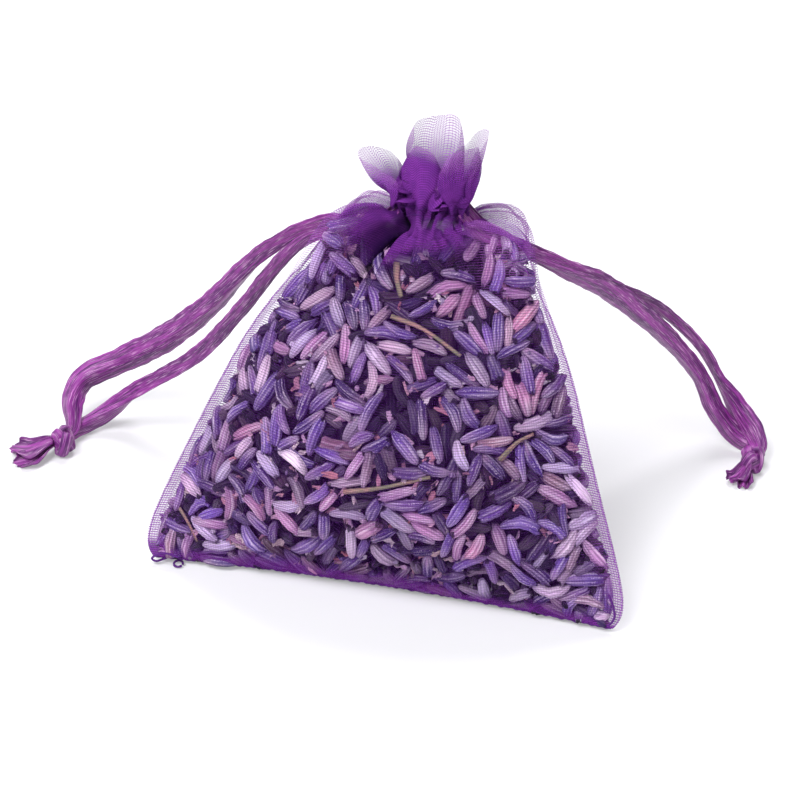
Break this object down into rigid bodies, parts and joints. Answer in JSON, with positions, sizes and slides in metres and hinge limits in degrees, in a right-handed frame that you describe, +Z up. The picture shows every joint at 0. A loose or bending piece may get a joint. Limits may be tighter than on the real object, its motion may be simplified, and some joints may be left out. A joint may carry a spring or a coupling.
{
  "type": "lavender sachet",
  "caption": "Small sheer organza drawstring bag full of dried lavender, gathered at the neck by knotted ribbons, with a frill above; it scents drawers and wardrobes.",
  "frame": {"origin": "middle of the box of the bag without its drawstrings, on the surface that the bag stands on", "axes": "+Z up; +X to the right across the bag as seen from its front; -Y out of the front of the bag, which leans back towards +Y"},
  "size_m": [0.1155, 0.0624, 0.0649],
  "materials": {
    "organza": "sheer woven organza",
    "gathered_organza": "gathered sheer organza",
    "seam": "overlocked cloth edge",
    "thread": "sewing thread",
    "ribbon": "satin ribbon",
    "dried_lavender": "mass of dried flower buds",
    "lavender_bud": "ribbed dried flower bud",
    "lavender_stem": "dry broken stalk"
  },
  "bodies": {
    "bag": {"front_panel": "organza", "back_panel": "organza", "bottom_seam": "seam", "left_side_seam": "seam", "right_side_seam": "seam", "left_thread_loop": "thread", "left_thread_ring": "thread", "right_thread_tail": "thread", "lavender_fill": "dried_lavender", "bud_1": "lavender_bud", "bud_2": "lavender_bud", "bud_3": "lavender_bud", "bud_4": "lavender_bud", "bud_5": "lavender_bud", "bud_6": "lavender_bud", "bud_7": "lavender_bud", "bud_8": "lavender_bud", "bud_9": "lavender_bud", "bud_10": "lavender_bud", "bud_11": "lavender_bud", "bud_12": "lavender_bud", "bud_13": "lavender_bud", "stem_1": "lavender_stem", "stem_2": "lavender_stem", "stem_3": "lavender_stem"},
    "front_mouth": {"front_casing": "gathered_organza", "front_frill": "gathered_organza", "front_upper_stitches": "thread", "front_lower_stitches": "thread", "left_ribbon_front_run": "ribbon", "right_ribbon_front_run": "ribbon"},
    "back_mouth": {"back_casing": "gathered_organza", "back_frill": "gathered_organza", "back_upper_stitches": "thread", "back_lower_stitches": "thread", "left_ribbon_back_run": "ribbon", "right_ribbon_back_run": "ribbon"},
    "left_drawstring": {"left_ribbon_front_leg": "ribbon", "left_ribbon_back_leg": "ribbon", "left_knot": "ribbon", "left_upper_tail": "ribbon", "left_lower_tail": "ribbon"},
    "right_drawstring": {"right_ribbon_front_leg": "ribbon", "right_ribbon_back_leg": "ribbon", "right_knot": "ribbon", "right_upper_tail": "ribbon", "right_lower_tail": "ribbon"}
  },
  "joints": [
    {"name": "front_mouth_hinge", "type": "hinge", "parent": "bag", "child": "front_mouth", "pos_m": [0.00207, 0.0047, 0.0495], "axis": [1, 0, 0], "range_deg": [0, 25]},
    {"name": "back_mouth_hinge", "type": "hinge", "parent": "bag", "child": "back_mouth", "pos_m": [0.00207, 0.01095, 0.0495], "axis": [-1, 0, 0], "range_deg": [0, 25]},
    {"name": "left_draw", "type": "slide", "parent": "bag", "child": "left_drawstring", "axis": [0.9972, -0.0749, 0], "range_m": [0, 0.0055], "deforming": ["left_ribbon_front_leg", "left_ribbon_back_leg"]},
    {"name": "right_draw", "type": "slide", "parent": "bag", "child": "right_drawstring", "axis": [-0.8163, -0.5776, 0], "range_m": [0, 0.0055], "deforming": ["right_ribbon_front_leg", "right_ribbon_back_leg"]}
  ],
  "couplings": [
    {"joint": "right_draw", "follows": "left_draw", "ratio": 1},
    {"joint": "front_mouth_hinge", "follows": "left_draw", "rad_per_m": 79.3},
    {"joint": "back_mouth_hinge", "follows": "left_draw", "rad_per_m": 79.3}
  ]
}
